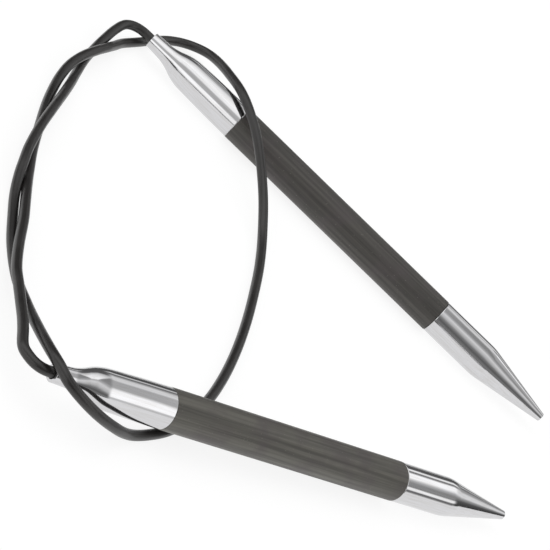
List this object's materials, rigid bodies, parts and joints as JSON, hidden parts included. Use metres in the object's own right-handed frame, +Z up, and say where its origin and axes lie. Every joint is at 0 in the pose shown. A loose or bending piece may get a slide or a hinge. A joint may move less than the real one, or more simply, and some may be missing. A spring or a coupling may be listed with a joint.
{
  "type": "circular knitting needle",
  "caption": "Circular knitting needle: two carbon fibre needles with polished metal points and ferrules, joined by one long supple cord laid in a loose loop.",
  "frame": {"origin": "centre of the footprint of the two needles, on the floor they lie on", "axes": "+Z up; +X to within four degrees along the back needle towards its point; the cord's loop lies towards -X"},
  "size_m": [0.1622, 0.171, 0.0147],
  "materials": {
    "cord_nylon": "smooth extruded nylon, satin gloss",
    "carbon_fibre": "satin pultruded carbon fibre with fine lengthwise streaks",
    "plated_metal": "nickel plated brass, mirror polished",
    "bead_brass": "bare turned brass, inside the needle"
  },
  "bodies": {
    "cord_loop": {"cord": "cord_nylon"},
    "front_cord_lead": {"front_cord_end": "cord_nylon", "front_cord_bead": "bead_brass"},
    "back_cord_lead": {"back_cord_end": "cord_nylon", "back_cord_bead": "bead_brass"},
    "front_needle": {"front_ferrule": "plated_metal", "front_shaft": "carbon_fibre", "front_point": "plated_metal", "front_bead_retainer": "bead_brass"},
    "back_needle": {"back_ferrule": "plated_metal", "back_shaft": "carbon_fibre", "back_point": "plated_metal", "back_bead_retainer": "bead_brass"}
  },
  "joints": [
    {"name": "front_cord_flex", "type": "hinge", "parent": "cord_loop", "child": "front_cord_lead", "pos_m": [-0.0261, -0.0791, 0.0098], "axis": [0, 0, 1], "range_deg": [-6, 8], "stiffness_Nm_per_rad": 0.01},
    {"name": "front_needle_swivel", "type": "hinge", "parent": "front_cord_lead", "child": "front_needle", "pos_m": [-0.0261, -0.0791, 0.0098], "axis": [0.6941, 0.7188, -0.0384], "continuous": true},
    {"name": "back_cord_flex", "type": "hinge", "parent": "cord_loop", "child": "back_cord_lead", "pos_m": [-0.0764, 0.0674, 0.005], "axis": [0, 0, 1], "range_deg": [-8, 4], "stiffness_Nm_per_rad": 0.01},
    {"name": "back_needle_swivel", "type": "hinge", "parent": "back_cord_lead", "child": "back_needle", "pos_m": [-0.0764, 0.0674, 0.005], "axis": [0.9979, 0.0645, 0], "continuous": true}
  ]
}
